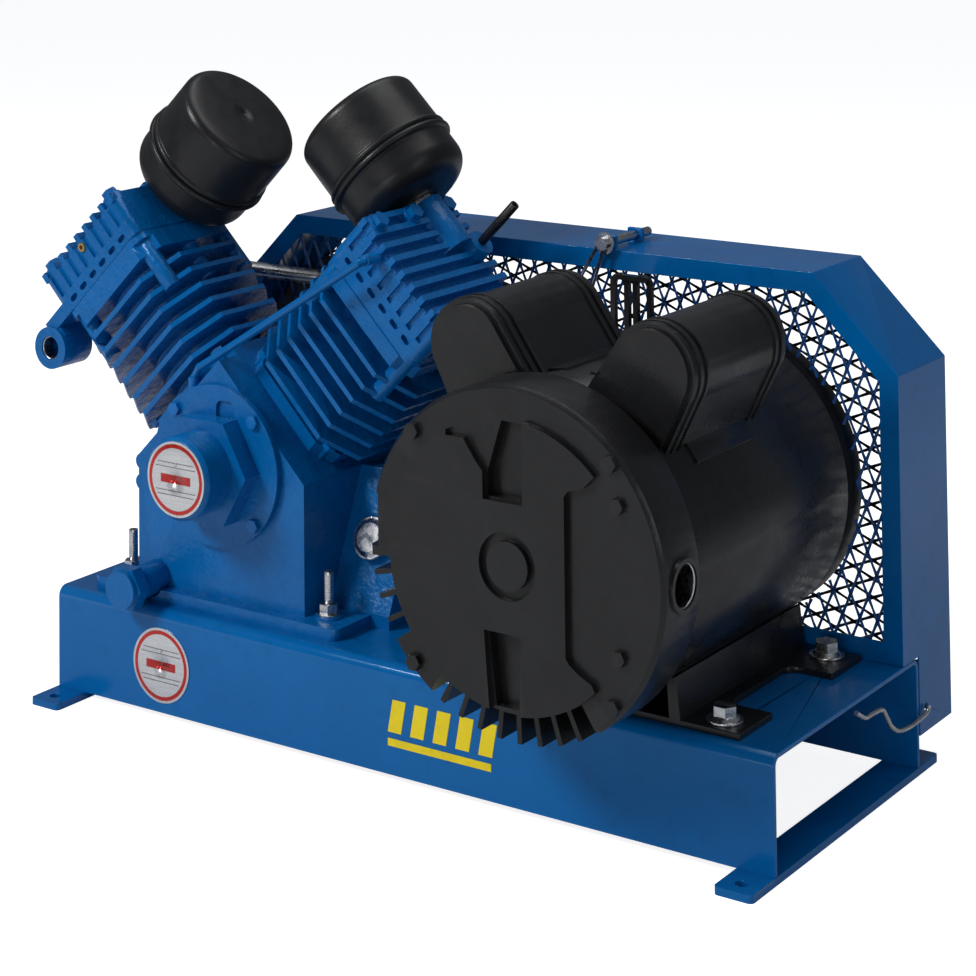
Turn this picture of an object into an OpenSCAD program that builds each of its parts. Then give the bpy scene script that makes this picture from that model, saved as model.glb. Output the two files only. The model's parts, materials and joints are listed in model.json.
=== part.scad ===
// Base-mounted, belt-driven two-cylinder air compressor with electric motor and belt guard.
// X runs along the base (pump on the left, motor on the right), -Y is the front, +Z is up.
// The origin is the centre of the four floor bolts, at floor level.

/* [Base] */
// Length of the base channel
base_l = 711; // [680:1:740]
// Depth of the base channel, front to back
base_d = 251; // [246:1:256]
// Height of the base top above the floor
base_h = 93; // [90:1:96]
// Thickness of the base sheet
base_t = 4; // [3:0.5:5]
// Length of each foot bar
foot_l = 322; // [310:1:340]
// Width of each foot bar
foot_w = 32; // [30:1:40]
// Thickness of each foot bar
foot_t = 6; // [5:0.5:8]
// Radius of the floor bolt holes
foot_hole_r = 5.5; // [4.5:0.25:6.5]
// Front to back spacing of the floor bolt holes
foot_hole_dy = 292; // [280:1:300]

/* [Pump] */
// Height of the crankshaft above the floor
pump_z = 216; // [214:1:218]
// Crank radius, half of the stroke
crank_r = 32; // [28:1:33]
// Connecting rod length between centres
rod_l = 132; // [130:1:134]
// Cylinder bore radius
bore_r = 38; // [36:0.5:38]
// Distance of each cylinder from the mid-plane between them
stagger = 9; // [8.9:0.1:9.5]
// Number of fins on each cylinder
fin_count = 6; // [4:1:6]
// Thickness of a cylinder fin
fin_t = 4.5; // [3:0.5:6]
// Radius of the front bearing cover
cover_r = 69; // [66:1:70]
// Radius of the discharge port thread
port_r = 10.5; // [8:0.5:11]

/* [Intake filters] */
// Radius of a filter canister
filter_r = 59; // [54:1:60]
// Height of a filter canister
filter_h = 103; // [98:1:106]

/* [Motor] */
// Height of the motor shaft above the base top
motor_h = 133.35; // [132:0.05:136]
// Radius of the front end bell
bell_r = 130; // [128:1:131]
// Radius of the rolled shell
shell_r = 122; // [120:1:122]
// Radius of the motor shaft
shaft_r = 17.46; // [15:0.01:18]
// Radius of the conduit entry
conduit_r = 16; // [14:0.5:16]
// Half the side to side spacing of the motor foot bolts
motor_e = 108; // [106:0.5:109]

/* [Drive] */
// Outside radius of the flywheel
flywheel_r = 150; // [145:1:152]
// Outside radius of the motor pulley
pulley_r = 52; // [50:1:56]

/* [Guard] */
// Height of the guard top above the floor
guard_top = 398; // [396:1:402]
// Thickness of the guard sheet
guard_t = 1.6; // [1.2:0.1:2]
// Width of the frame around the mesh
guard_frame_w = 17; // [14:1:20]

/* [Hidden] */
$fn = 64;

blue = [0.02, 0.31, 0.58];
black = [0.07, 0.07, 0.08];
zinc = [0.72, 0.74, 0.76];
steel = [0.5, 0.51, 0.53];

px = -193.5;             // crank axis
pz = pump_z;
mx = 191.5;              // motor axis
mz = base_h + motor_h;
yc0 = -14.5;             // mid-plane between the cylinders
deck = 63;               // crank axis to cylinder seat
case_y0 = -95.5;
case_y1 = 64.5;
case_w = 186;
s_top = 200;             // top of the cylinder
s_head = 207;            // underside of the head
head_h = 46;
head_u = 122;
head_v = 125;
port_u = 94;             // discharge boss, outward from the cylinder axis
filter_t = [64.2, 64.2];      // pan to cylinder axis, left and right
filter_s = [-4, 1];       // shift of the intake boss along the cylinder
filter_v = [26, 33];      // intake boss behind the cylinder axis
pin_s = crank_r * cos(45) + sqrt(rod_l * rod_l - pow(crank_r * sin(45), 2));
crown = 34;
bell_y0 = -225.5;
bell_y1 = -170.5;
shell_y1 = 89.5;
rear_y1 = 124.5;
gy0 = 97;
gy1 = 188.5;
drive_y = 159;
groove = 20;

// ---------- helpers ----------
// hexagon with flats, across-corner radius r
module hexa(r, h) { cylinder(r = r, h = h, $fn = 6); }
// rounded rectangle, centred
module rrect(x, y, r) {
  square([x - 2 * r, y], center = true);
  square([x, y - 2 * r], center = true);
  for (i = [-1, 1], j = [-1, 1]) translate([i * (x / 2 - r), j * (y / 2 - r)]) circle(r);
}
// rectangle with cut corners, centred
module crect(x, y, c) {
  polygon([[-x / 2 + c, -y / 2], [x / 2 - c, -y / 2], [x / 2, -y / 2 + c], [x / 2, y / 2 - c],
           [x / 2 - c, y / 2], [-x / 2 + c, y / 2], [-x / 2, y / 2 - c], [-x / 2, -y / 2 + c]]);
}
// children drawn with +Z along -Y (towards the front) and Y up, from the plane y0
module to_front(x, y0, z) { translate([x, y0, z]) rotate([90, 0, 0]) children(); }
// children drawn with +Z along +Y, from the plane y0
module to_back(x, y0, z) { translate([x, y0, z]) rotate([-90, 0, 0]) children(); }
// cylinder frame: local X points outward and down, local Y is front to back, local Z is the cylinder axis
module bank(side) {
  if (side > 0) translate([px, yc0 + stagger, pz]) rotate([0, 45, 0]) children();
  else translate([px, yc0 - stagger, pz]) mirror([1, 0, 0]) rotate([0, 45, 0]) children();
}
// straight round bar between two points
module bar(a, b, r) {
  d = b - a;
  l = norm(d);
  translate(a) rotate([0, acos(d[2] / l), atan2(d[1], d[0])]) cylinder(r = r, h = l);
}
// round wire through a list of points
module wire(pts, r) {
  for (i = [0 : len(pts) - 2]) bar(pts[i], pts[i + 1], r);
  for (p = pts) translate(p) sphere(r * 1.06);
}

// ---------- base ----------
module channel2d(w, h, r) {
  translate([-w / 2, 0]) square([w, h - r]);
  translate([-w / 2 + r, 0]) square([w - 2 * r, h]);
  for (i = [-1, 1]) translate([i * (w / 2 - r), h - r]) circle(r);
}
module base_channel() color(blue) difference() {
  translate([-base_l / 2, 0, foot_t]) rotate([90, 0, 90]) linear_extrude(base_l) difference() {
    channel2d(base_d, base_h - foot_t, 9);
    translate([0, -1]) channel2d(base_d - 2 * base_t, base_h - foot_t - base_t + 1, 5);
  }
  for (i = [-1, 1], y = [-84, 64]) translate([px + i * 110, y, base_h - 10]) cylinder(r = 4.5, h = 20);
  for (i = [-1, 1], y = [-95.5, 74.5]) translate([mx + i * motor_e, y, base_h - 10]) cylinder(r = 6, h = 20);
}
module foot_bars() color(blue) for (i = [-1, 1]) translate([i * (base_l / 2 - foot_w / 2), 0, 0]) difference() {
  linear_extrude(foot_t) rrect(foot_w, foot_l, 4);
  for (j = [-1, 1]) translate([0, j * foot_hole_dy / 2, -1]) cylinder(r = foot_hole_r, h = foot_t + 2);
}
module badges() {
  color([0.8, 0.8, 0.82]) to_front(px, -151.5, pz) cylinder(r = 31.6, h = 1);
  color([0.8, 0.8, 0.82]) to_front(-234.2, -base_d / 2, 46.2) cylinder(r = 31.6, h = 0.8);
}
// plain stripes, with no lettering
module decal_bars() color([0.95, 0.85, 0.1]) {
  for (i = [0 : 4]) to_front(8 + i * 22, -base_d / 2, 40) linear_extrude(0.4)
    polygon([[0, 0], [13, 0], [18, 26], [5, 26]]);
  to_front(8, -base_d / 2, 29) linear_extrude(0.4) square([100, 6]);
}

// ---------- pump body ----------
module case2d(w, lo, d) {
  k = d * sqrt(2) - w / 2;
  polygon([[-w / 2, lo], [w / 2, lo], [w / 2, k], [0, d * sqrt(2)], [-w / 2, k]]);
}
module crankcase() color(blue) difference() {
  union() {
    to_back(px, case_y0, pz) mirror([0, 1, 0]) linear_extrude(case_y1 - case_y0) case2d(case_w, base_h - pz, deck);
    // foot flange
    translate([px, -15.25, base_h]) linear_extrude(10) rrect(272, 186.5, 8);
    // oil chamber on the right with its leaning front
    translate([px + case_w / 2 - 6, 0, 0]) rotate([90, 0, 90]) linear_extrude(68)
      polygon([[-60, base_h], [-60, 104], [-14, 212], [40, 212], [52, base_h]]);
    // stud lands
    for (i = [-1, 1], y = [-84, 64]) translate([px + i * 110, y, base_h]) cylinder(r = 12, h = 12);
    // ribs on the left shoulder
    for (z = [186, 204]) to_back(px - case_w / 2 - 2, case_y0 + 6, z) cylinder(r = 7, h = 60);
    // breather boss on the left shoulder
    translate([-228, -88, 250]) cylinder(r = 5.3, h = 26.5);
  }
  // crank chamber
  difference() {
    to_back(px, case_y0 + 9, pz) mirror([0, 1, 0]) linear_extrude(case_y1 - case_y0 - 18)
      case2d(case_w - 18, base_h + 10 - pz, deck - 9);
  }
  translate([px + case_w / 2 - 20, 0, 0]) rotate([90, 0, 90]) linear_extrude(74)
    polygon([[-51, 103], [-12, 203], [33, 203], [43, 103]]);
  // cylinder seats
  for (s = [-1, 1]) bank(s) translate([0, 0, 30]) cylinder(r = 41, h = 60);
  // front and rear openings
  to_back(px, case_y0 - 1, pz) cylinder(r = 56, h = 20);
  to_back(px, case_y1 - 12, pz) cylinder(r = 48, h = 20);
  for (a = [45 : 90 : 315]) to_back(px + 62 * cos(a), case_y0 - 1, pz + 62 * sin(a)) cylinder(r = 2.5, h = 9);
  // drain bore and its relief in the flange
  to_back(-263.5, case_y0 - 1, 110) cylinder(r = 10, h = 14);
  to_back(-263.5, -120, 110) cylinder(r = 15.5, h = 120 + case_y0);
  // sight glass bore, square to the leaning front
  translate([-68.5, -37, 158]) rotate([67, 0, 0]) translate([0, 0, -15]) cylinder(r = 10, h = 40);
  // breather passage
  translate([-228, -88, 240]) cylinder(r = 3, h = 50);
  for (i = [-1, 1], y = [-84, 64]) translate([px + i * 110, y, base_h - 1]) cylinder(r = 4.5, h = 20);
  for (s = [-1, 1]) bank(s) for (i = [-1, 1], j = [-1, 1]) translate([i * 49, j * 49, deck - 8]) cylinder(r = 3.4, h = 20);
}
module front_cover() color(blue) difference() {
  union() {
    to_back(px, case_y0 - 6, pz) cylinder(r = cover_r, h = 6);
    to_back(px, case_y0, pz) cylinder(r = 55.9, h = 9);
    to_back(px, case_y0 + 9, pz) cylinder(r = 36, h = 14);
  }
  to_back(px, case_y0 + 5, pz) cylinder(r = 26, h = 30);
  for (a = [45 : 90 : 315]) to_back(px + 62 * cos(a), case_y0 - 7, pz + 62 * sin(a)) cylinder(r = 3.2, h = 9);
  // pocket above the cap
  to_front(px + 12, case_y0 - 3, pz + 42) linear_extrude(9) rrect(20, 30, 6);
}
module cover_screws() color(blue) for (a = [45 : 90 : 315]) to_front(px + 62 * cos(a), case_y0 - 6, pz + 62 * sin(a)) {
  hexa(6, 4);
  translate([0, 0, -13]) cylinder(r = 2.4, h = 13.01);
}
module bearing_cap() color(blue) {
  to_front(px, case_y0 - 6, pz) hexa(50, 19);
  to_front(px, case_y0 - 25, pz) cylinder(r = 35, h = 28);
  to_front(px, case_y0 - 53, pz) cylinder(r1 = 35, r2 = 32.5, h = 3);
}
module crankcase_studs() color(zinc) for (i = [-1, 1], y = [-84, 64]) translate([px + i * 110, y, 0]) {
  difference() {
    union() {
      translate([0, 0, base_h - 14]) cylinder(r = 4, h = 62);
      for (k = [0 : 9]) translate([0, 0, base_h + 25 + k * 2.2]) cylinder(r1 = 4.25, r2 = 4, h = 1.1);
    }
    translate([0, 0, base_h - 20]) cylinder(r = 0.5, h = 3);
  }
  translate([0, 0, base_h + 12]) difference() { cylinder(r = 10, h = 2); translate([0, 0, -1]) cylinder(r = 4.3, h = 5); }
  translate([0, 0, base_h + 14]) difference() { hexa(8.3, 7.5); translate([0, 0, -1]) cylinder(r = 4.3, h = 10); }
  translate([0, 0, base_h - base_t - 7.5]) difference() { hexa(8.3, 7.5); translate([0, 0, -1]) cylinder(r = 4.3, h = 10); }
}
module drain_pipe() color(blue) difference() {
  union() {
    to_front(-263.5, case_y0 + 8, 110) cylinder(r = 9.9, h = 8);
    to_front(-263.5, case_y0, 110) cylinder(r = 14, h = 34);
  }
  to_front(-263.5, case_y0 + 9, 110) cylinder(r = 7, h = 50);
}
module drain_cap() color(blue) {
  to_front(-263.5, case_y0 - 34, 110) hexa(20, 12);
  to_front(-263.5, case_y0 - 46, 110) cylinder(r = 16, h = 5);
  to_front(-263.5, case_y0 - 27, 110) cylinder(r = 6.9, h = 7);
}
module oil_sight_glass() color(zinc) translate([-68.5, -37, 158]) rotate([67, 0, 0]) {
  translate([0, 0, -8]) cylinder(r = 9.9, h = 12);
  translate([0, 0, 4]) cylinder(r = 17.5, h = 5);
  translate([0, 0, 9]) cylinder(r1 = 16, r2 = 12, h = 3);
}
// slanted line from the left shoulder to the front of the right head
module breather_tube() color(blue) difference() {
  union() {
    translate([-228, -88, 276.5]) cylinder(r = 5, h = 9);
    wire([[-228, -88, 285], [-220, -90, 295], [-45.5, -90, 402], [-42, -86, 404]], 3.5);
    to_back(-42, -86, 404) cylinder(r = 5, h = 86 + yc0 + stagger - head_v / 2);
  }
}

// ---------- cylinders ----------
module cylinder_body(side) color(blue) bank(side) difference() {
  union() {
    translate([0, 0, deck - 8]) cylinder(r = 40.9, h = 9);
    translate([0, 0, deck + 0.02]) linear_extrude(11.98) crect(118, 118, 18);
    translate([0, 0, deck + 0.02]) cylinder(r = 47, h = s_top - deck - 0.02);
    for (k = [0 : fin_count - 1]) translate([3, 0, 84 + k * 17]) linear_extrude(fin_t) crect(140, 134, 30);
    translate([0, 0, s_top - 14]) linear_extrude(14) crect(head_u + 2, head_v + 1, 16);
    // bolt columns through the fins
    for (i = [-1, 1], j = [-1, 0, 1]) translate([i * 50, j * 50, 150]) cylinder(r = 8, h = s_top - 150);
  }
  translate([0, 0, deck - 20]) cylinder(r = bore_r, h = 200);
  for (i = [-1, 1], j = [-1, 1]) translate([i * 49, j * 49, deck - 1]) cylinder(r = 3.6, h = 14);
  for (i = [-1, 1], j = [-1, 0, 1]) translate([i * 50, j * 50, s_top - 25]) cylinder(r = 3.5, h = 40);
}
module cylinder_left() cylinder_body(-1);
module cylinder_right() cylinder_body(1);
module cylinder_bolts() color(blue) for (s = [-1, 1]) bank(s) for (i = [-1, 1], j = [-1, 1])
  translate([i * 49, j * 49, deck + 12]) {
    hexa(6.6, 5);
    translate([0, 0, -18]) cylinder(r = 3.3, h = 18.01);
  }
module valve_plates() color(steel) for (s = [-1, 1]) bank(s) difference() {
  translate([0, 0, s_top]) linear_extrude(s_head - s_top) rrect(head_u - 1, head_v - 1, 12);
  for (i = [-1, 1], j = [-1, 0, 1]) translate([i * 50, j * 50, s_top - 1]) cylinder(r = 4.2, h = 12);
  for (i = [-1, 1], j = [-1, 1]) translate([i * 19, j * 12, s_top - 1]) cylinder(r = 5, h = 12);
}

// ---------- heads ----------
module head_body(side) color(blue) bank(side) difference() {
  union() {
    translate([0, 0, s_head]) linear_extrude(head_h - 8) rrect(head_u, head_v, 9);
    // ribs running front to back, wrapped over the ends
    for (k = [0 : 8]) translate([-56 + k * 14 - 2.75, -head_v / 2, s_head + head_h - 9]) cube([5.5, head_v, 9]);
    for (i = [-1, 1], j = [-1, 0, 1]) translate([i * 50, j * 50, s_head]) cylinder(r = 10, h = head_h);
    // intake boss on the inner side
    translate([5 - filter_t[max(side, 0)], filter_v[max(side, 0)], s_head + head_h - 9 + filter_s[max(side, 0)]]) rotate([0, 90, 0]) cylinder(r = 18, h = 50);
    // unloader boss at the back of the right head
    if (side > 0) translate([-4, 50, s_head + head_h - 9]) cylinder(r = 12, h = 17);
    // discharge boss at the front of the left head
    if (side < 0) {
      translate([port_u, -head_v / 2 - 3, s_head - 8]) rotate([-90, 0, 0]) cylinder(r = 19, h = 36);
      translate([50, -head_v / 2, s_head]) cube([36, 32, 12]);
      translate([74, -head_v / 2 + 1, s_head - 10]) cube([14, 28, 20]);
    }
    // port for the crossover tube
    translate([38, head_v / 2 - 8, s_head + 14]) rotate([-90, 0, 0]) cylinder(r = 12, h = 14);
  }
  // end grooves between the ribs
  for (k = [0 : 7], j = [-1, 1]) translate([-56 + k * 14 + 4.2, j * head_v / 2 - 3, s_head + 16]) cube([5.6, 6, 40]);
  // row of cooling slots above the joint
  for (k = [0 : 5], j = [-1, 1]) translate([-42 + k * 16.5, j * head_v / 2, s_head + 7]) rotate([90, 0, 0])
    linear_extrude(10, center = true) rrect(10, 5, 2.4);
  for (k = [0 : 5]) translate([head_u / 2, -44 + k * 17.5, s_head + 7]) rotate([90, 0, 90])
    linear_extrude(10, center = true) rrect(11, 5, 2.4);
  // chambers
  for (i = [-1, 1]) translate([i * 21, 0, s_head - 1]) linear_extrude(23) rrect(34, 84, 6);
  // intake bore down into its chamber
  translate([4 - filter_t[max(side, 0)], filter_v[max(side, 0)], s_head + head_h - 9 + filter_s[max(side, 0)]]) rotate([0, 90, 0]) cylinder(r = 10.5, h = 45);
  translate([-20, filter_v[max(side, 0)], s_head + 10]) cylinder(r = 7.5, h = 28);
  // flat for the nipple and flats for the bolt washers
  translate([-80, filter_v[max(side, 0)], s_head + head_h - 9 + filter_s[max(side, 0)]]) rotate([0, 90, 0]) cylinder(r = 19, h = 85 - filter_t[max(side, 0)]);
  for (j = [0, 1]) translate([-50, j * 50, s_head + head_h]) cylinder(r = 10.2, h = 16);
  // discharge bore
  if (side < 0) {
    translate([port_u, -head_v / 2 - 4, s_head - 8]) rotate([-90, 0, 0]) cylinder(r = port_r, h = 30);
    translate([30, -head_v / 2 + 17, s_head + 4.4]) rotate([0, 90, 0]) cylinder(r = 3.6, h = port_u - 30);
  }
  translate([38, 20, s_head + 14]) rotate([-90, 0, 0]) cylinder(r = 7, h = 60);
  // unloader bore and plug seat
  if (side > 0) translate([-4, 50, s_head + head_h - 4]) cylinder(r = 4.2, h = 20);
  if (side < 0) translate([0, -head_v / 2 - 1, s_head + head_h - 14]) rotate([-90, 0, 0]) cylinder(r = 4, h = 9);
  // head bolts
  for (i = [-1, 1], j = [-1, 0, 1]) translate([i * 50, j * 50, s_head - 1]) cylinder(r = 4.2, h = head_h + 10);
}
module head_left() head_body(-1);
module head_right() head_body(1);
module head_bolts() color(blue) for (s = [-1, 1]) bank(s) for (i = [-1, 1], j = [-1, 0, 1])
  translate([i * 50, j * 50, s_head + head_h]) {
    cylinder(r = 9, h = 1.5);
    translate([0, 0, 1.5]) hexa(7.5, 5.5);
    translate([0, 0, -74]) cylinder(r = 3.4, h = 74.01);
  }
module port_plug() color([0.75, 0.6, 0.3]) bank(-1) translate([0, -head_v / 2 - 2, s_head + head_h - 14]) rotate([-90, 0, 0]) difference() {
  cylinder(r = 3.95, h = 9);
  translate([0, 0, -1]) hexa(2.2, 4);
}
module unloader_stub() color([0.2, 0.2, 0.21]) bank(1) translate([-4, 50, s_head + head_h - 4]) difference() {
  cylinder(r = 4.15, h = 62);
  translate([0, 0, -1]) cylinder(r = 2.4, h = 70);
}
// joins the two heads behind the pump
module crossover_tube() color(steel) {
  o = 38;
  sv = s_head + 14;
  xr = px + (sv + o) * cos(45);
  xl = px - (sv + o) * cos(45);
  z = pz + (sv - o) * cos(45);
  yr = yc0 + stagger + head_v / 2 + 6;
  yl = yc0 - stagger + head_v / 2 + 6;
  difference() {
    union() {
      to_back(xr, yr - 4, z) cylinder(r = 6.9, h = 82 - yr + 4);
      to_back(xl, yl - 4, z) cylinder(r = 6.9, h = 82 - yl + 4);
      translate([xl, 82, z]) rotate([0, 90, 0]) cylinder(r = 6.9, h = xr - xl);
      for (x = [xl, xr]) translate([x, 82, z]) sphere(6.9);
    }
    translate([xl, 82, z]) rotate([0, 90, 0]) cylinder(r = 5.4, h = xr - xl);
  }
}

// ---------- intake filters ----------
module filter_frame(side) bank(side) translate([-filter_t[max(side, 0)], filter_v[max(side, 0)], s_head + head_h - 9 + filter_s[max(side, 0)]]) rotate([0, -90, 0]) children();
module intake_nipples() color(zinc) for (s = [-1, 1]) filter_frame(s) difference() {
  union() {
    translate([0, 0, -20]) cylinder(r = 10.4, h = 16);
    translate([0, 0, -4.95]) hexa(15, 4.9);
    translate([0, 0, -1]) cylinder(r = 10.4, h = 12);
  }
  translate([0, 0, -30]) cylinder(r = 7.5, h = 60);
}
module pan2d(r, h, c) {
  square([r - c, h]);
  translate([0, c]) square([r, h - c]);
  translate([r - c, c]) circle(c);
}
module filter_base(side) color(black) filter_frame(side) difference() {
  union() {
    rotate_extrude() intersection() { square([100, 100]); pan2d(filter_r - 1, 42, 18); }
    translate([0, 0, 38]) cylinder(r = filter_r + 3, h = 5);
  }
  translate([0, 0, 1.6]) rotate_extrude() intersection() { square([100, 100]); pan2d(filter_r - 2.6, 50, 16.5); }
  translate([0, 0, -1]) cylinder(r = 10.5, h = 10);
}
module filter_base_left() filter_base(-1);
module filter_base_right() filter_base(1);
module filter_cover(side) color(black) filter_frame(side) translate([0, 0, filter_h]) mirror([0, 0, 1]) difference() {
  union() {
    rotate_extrude() intersection() { square([100, 100]); pan2d(filter_r, filter_h - 43, 9); }
    translate([0, 0, filter_h - 48]) cylinder(r = filter_r + 2, h = 5);
  }
  translate([0, 0, 1.4]) rotate_extrude() intersection() { square([100, 100]); pan2d(filter_r - 1.4, filter_h, 7.6); }
}
module filter_cover_left() filter_cover(-1);
module filter_cover_right() filter_cover(1);
module filter_elements() color([0.85, 0.82, 0.7]) for (s = [-1, 1]) filter_frame(s) difference() {
  translate([0, 0, 10]) cylinder(r = 50, h = filter_h - 16);
  translate([0, 0, 9]) cylinder(r = 30, h = filter_h);
}

// ---------- crank train ----------
module ball_bearings() color(steel) {
  to_back(px, case_y0 + 5.5, pz) difference() { cylinder(r = 25.95, h = 17); translate([0, 0, -1]) cylinder(r = 15.05, h = 20); }
  to_back(px, case_y1 - 8, pz) difference() { cylinder(r = 35.95, h = 20); translate([0, 0, -1]) cylinder(r = 20.05, h = 22); }
  to_front(mx, -187.4, mz) difference() { cylinder(r = 35.95, h = 18); translate([0, 0, -1]) cylinder(r = shaft_r + 0.05, h = 30); }
  to_back(mx, 98, mz) difference() { cylinder(r = 39.95, h = 18); translate([0, 0, -1]) cylinder(r = shaft_r + 0.05, h = 30); }
}
module bearing_carrier() color(blue) to_back(px, case_y1 - 9, pz) difference() {
  union() {
    cylinder(r = 47.9, h = 9);
    translate([0, 0, 9]) cylinder(r = 60, h = 7);
    translate([0, 0, 16]) cylinder(r = 42, h = 8);
  }
  translate([0, 0, -1]) cylinder(r = 36, h = 22.5);
  cylinder(r = 22, h = 60);
}
module crankshaft() color(steel) difference() {
  union() {
    to_back(px, case_y0 + 7, pz) cylinder(r = 15, h = 17);
    to_back(px, case_y0 + 24, pz) cylinder(r = 19, h = yc0 - 34 - case_y0 - 24);
    for (y = [yc0 - 22 - 13, yc0 + 22]) to_back(px, y, pz) difference() {
      union() {
        cylinder(r = 30, h = 13);
        translate([0, -crank_r, 0]) cylinder(r = 20.5, h = 13);
        translate([0, 14, 0]) intersection() {
          cylinder(r = 38, h = 13);
          translate([-45, 0, 0]) cube([90, 45, 13]);
        }
      }
    }
    to_back(px, yc0 - 23, pz + crank_r) cylinder(r = 16, h = 46);
    to_back(px, yc0 + 35, pz) cylinder(r = 22, h = case_y1 - 12 - yc0 - 35);
    to_back(px, case_y1 - 12, pz) cylinder(r = 20, h = 32);
    to_back(px, case_y1 + 20, pz) cylinder(r = 19, h = 182 - case_y1 - 20);
  }
  to_back(px, 175, pz) cylinder(r = 4, h = 20);
}
module sheave(R, w) {
  difference() {
    cylinder(r = R, h = w, center = true, $fn = 96);
    for (z = [-groove / 2, groove / 2]) translate([0, 0, z]) rotate_extrude($fn = 96)
      polygon([[R - 13, -6.8], [R + 1, -8.2], [R + 1, 8.2], [R - 13, 6.8]]);
  }
}
module flywheel() color([0.1, 0.1, 0.11]) to_back(px, drive_y, pz) difference() {
  union() {
    difference() { sheave(flywheel_r, 42); cylinder(r = flywheel_r - 22, h = 50, center = true); }
    cylinder(r = 36, h = 40, center = true);
    for (a = [0 : 72 : 288]) rotate([0, 0, a + 18]) translate([0, -12, -6]) cube([flywheel_r - 20, 24, 12]);
  }
  cylinder(r = 19.02, h = 60, center = true);
}
// rod from the crank pin to the wrist pin, drawn along the cylinder at rest
module rod(side) color([0.75, 0.75, 0.77]) {
  a = asin(crank_r * sin(45) / rod_l);
  bank(side) translate([-crank_r * sin(45), 0, crank_r * cos(45)]) rotate([0, a, 0]) rotate([90, 0, 0]) difference() {
    union() {
      cylinder(r = 25, h = 17, center = true);
      translate([0, rod_l, 0]) cylinder(r = 14, h = 17, center = true);
      translate([-7, 10, -5]) cube([14, rod_l - 18, 10]);
    }
    cylinder(r = 16.05, h = 30, center = true);
    translate([0, rod_l, 0]) cylinder(r = 8.05, h = 30, center = true);
  }
}
module rod_left() rod(-1);
module rod_right() rod(1);
module piston(side) color([0.8, 0.8, 0.82]) bank(side) translate([0, 0, pin_s]) difference() {
  translate([0, 0, -22]) cylinder(r = bore_r - 0.06, h = 22 + crown);
  difference() {
    translate([0, 0, -23]) cylinder(r = bore_r - 5, h = 22 + crown - 6);
    for (j = [-1, 1]) rotate([90, 0, 0]) translate([0, 0, j * 21]) cylinder(r = 13, h = 20, center = true);
  }
  rotate([90, 0, 0]) cylinder(r = 8.02, h = 90, center = true);
  for (k = [0 : 2]) translate([0, 0, crown - 8 - k * 7]) difference() {
    cylinder(r = bore_r + 1, h = 2.6);
    translate([0, 0, -1]) cylinder(r = bore_r - 3.4, h = 5);
  }
}
module piston_left() piston(-1);
module piston_right() piston(1);
module wrist_pin(side) color(steel) bank(side) translate([0, 0, pin_s]) rotate([90, 0, 0]) difference() {
  cylinder(r = 8, h = 2 * bore_r - 8, center = true);
  cylinder(r = 4.5, h = 2 * bore_r, center = true);
}
module wrist_pin_left() wrist_pin(-1);
module wrist_pin_right() wrist_pin(1);
module piston_rings(side) color([0.25, 0.25, 0.27]) bank(side) for (k = [0 : 2]) translate([0, 0, pin_s + crown - 7.9 - k * 7]) difference() {
  cylinder(r = bore_r - 0.02, h = 2.4);
  translate([0, 0, -1]) cylinder(r = bore_r - 3.3, h = 5);
  rotate([0, 0, 70 + k * 120]) translate([bore_r - 5, -0.3, -1]) cube([8, 0.6, 5]);
}
module piston_rings_left() piston_rings(-1);
module piston_rings_right() piston_rings(1);

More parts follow.
